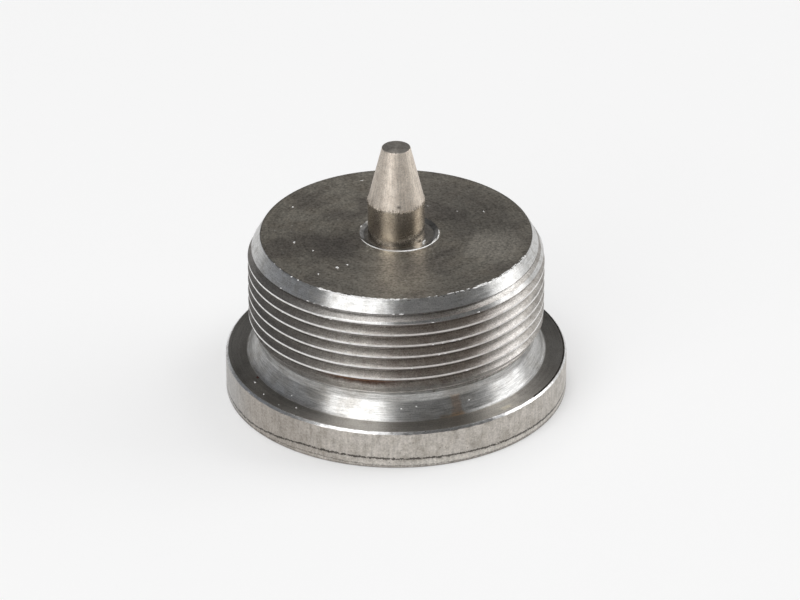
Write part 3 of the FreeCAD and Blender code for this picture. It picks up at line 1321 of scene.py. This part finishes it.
@dataclass
class Studio:
    """The pale floor, the lamps, the room's light and the camera. Its sizes are metres."""

    elevation: float = 29.98
    distance: float = 0.8829
    lens: float = 242.6
    aim_right: float = 0.000622
    aim_up: float = 0.013317
    floor_half: float = 3.0
    floor_colour: Colour = (0.9, 0.9, 0.9)
    floor_mottle: float = 0.02
    floor_lift: float = 0.62
    shadow_share: float = 0.4
    shadow_fade: Point = (0.027, 0.045)
    backdrop: Colour = (0.93, 0.93, 0.93)
    dark: Colour = (0.11, 0.11, 0.11)
    glows: tuple[Glow, ...] = (
        Glow((0.7, 0.71, 0.12), 18.0, 38.0, (0.8, 0.8, 0.8)),
        Glow((-0.5, 0.866, 0.0), 12.0, 30.0, (0.5, 0.5, 0.5)),
        Glow((-0.95, 0.2, 0.2), 10.0, 42.0, (0.2, 0.21, 0.23)),
    )
    lamps: tuple[Lamp, ...] = (
        Lamp("left_softbox", (-0.484, -0.775, 0.407), 1.2, 0.95, 1.3, 2.2),
        Lamp("overhead_softbox", (-0.223, -0.028, 0.974), 1.25, 1.35, 0.46, 3.3, -22.0),
        Lamp("right_softbox", (0.83, 0.19, 0.52), 1.2, 0.66, 1.25, 3.0, -23.0),
    )

    def floor(self) -> None:
        """Lays the floor, which isn't part of the object."""
        Work.clear()
        bpy.ops.mesh.primitive_plane_add(size=2 * self.floor_half)
        ground = bpy.context.object
        ground.name = "floor"
        made = bpy.data.materials.new("pale_card")
        made.use_nodes = True
        graph = Graph(made.node_tree)
        place = graph.node("TexCoord").outputs["Object"]
        mottle = graph.noise(place, 0.02, detail=3.0) * self.floor_mottle
        colour = graph.scale(self.floor_colour, 1.0 - self.floor_mottle / 2 + mottle)
        card = graph.node(
            "BsdfPrincipled", {"Base Color": colour, "Roughness": 0.9, "Specular IOR Level": 0.2}
        )
        white = graph.node("Emission", {"Color": WHITE, "Strength": 1.0})
        rays = graph.node("LightPath").outputs
        seen, mirrored, through = (
            Value(graph, rays[name])
            for name in ("Is Camera Ray", "Is Glossy Ray", "Is Transmission Ray")
        )
        # The floor glows, pale to the camera and in the metal; near the plug less glow is added, so
        # a ring of painted shade lies round the foot over its real shadow.
        across = graph.node("VectorMath", {0: place}, operation="LENGTH").outputs["Value"]
        beyond = Value(graph, across).between(*self.shadow_fade)
        clear = beyond * self.shadow_share + (1.0 - self.shadow_share)
        lift = (seen * clear + mirrored + through).between(0.0, 1.0) * self.floor_lift
        surface = graph.node("MixShader", {0: lift, 1: card.outputs[0], 2: white.outputs[0]})
        graph.node("OutputMaterial", {"Surface": surface.outputs[0]})
        ground.data.materials.append(made)

    def room(self) -> None:
        """Lights the room: dark, with pale places low down, as the metal shows it."""
        world = bpy.data.worlds.new("room")
        bpy.context.scene.world = world
        world.use_nodes = True
        graph = Graph(world.node_tree)
        direction = graph.node("TexCoord").outputs["Generated"]
        tone: object = self.dark
        for glow in self.glows:
            towards = Vector(glow.toward).normalized()
            turned = graph.node("VectorMath", {0: direction, 1: towards}, operation="DOT_PRODUCT")
            near = Value(graph, turned.outputs["Value"])
            inner, outer = (math.cos(math.radians(angle)) for angle in (glow.inner, glow.outer))
            tone = graph.blend(near.between(outer, inner), tone, glow.tone)
        seen = Value(graph, graph.node("LightPath").outputs["Is Camera Ray"])
        shown = graph.blend(seen, tone, self.backdrop)
        light = graph.node("Background", {"Color": shown, "Strength": 1.0})
        graph.node("OutputWorld", {"Surface": light.outputs[0]})

    def camera(self) -> None:
        """Places the camera at the photograph's distance and angle, aimed rather than shifted."""
        tilt = math.radians(self.elevation)
        data = bpy.data.cameras.new("camera")
        data.lens = self.lens
        data.sensor_width = 36.0
        camera = bpy.data.objects.new("camera", data)
        bpy.context.scene.collection.objects.link(camera)
        camera.location = (0.0, -self.distance * math.cos(tilt), self.distance * math.sin(tilt))
        up, back = self.aim_up * math.cos(tilt), self.aim_up * math.sin(tilt)
        away = camera.location - Vector((self.aim_right, back, up))
        camera.rotation_euler = away.to_track_quat("Z", "Y").to_euler()
        bpy.context.scene.camera = camera

    def build(self) -> None:
        """Sets the whole studio up."""
        bpy.context.scene.view_settings.view_transform = "Standard"
        self.camera()
        self.floor()
        self.room()
        for lamp in self.lamps:
            lamp.build()


def place(piece: bpy.types.Object, slot: str, *nodes: str) -> None:
    """Ties a finished piece to the frame and reports it.

    Args:
        piece: The finished piece.
        slot: Not used.
        nodes: The CAD nodes that it stands for.
    """
    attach(piece, BODY)
    if nodes:
        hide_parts(*nodes)
    log.info("%s: %d faces", piece.name, len(piece.data.polygons))


def main() -> None:
    """Builds the studio and each piece, in order."""
    logging.basicConfig(level=logging.INFO, format="%(name)s %(message)s")
    Studio().build()
    place(PlugBody().build(), "turned_steel", "plug_body")
    place(Burrs().build(), "turned_steel")
    place(TaperPin().build(), "pin_steel", "taper_pin")


if __name__ == "__main__":
    main()
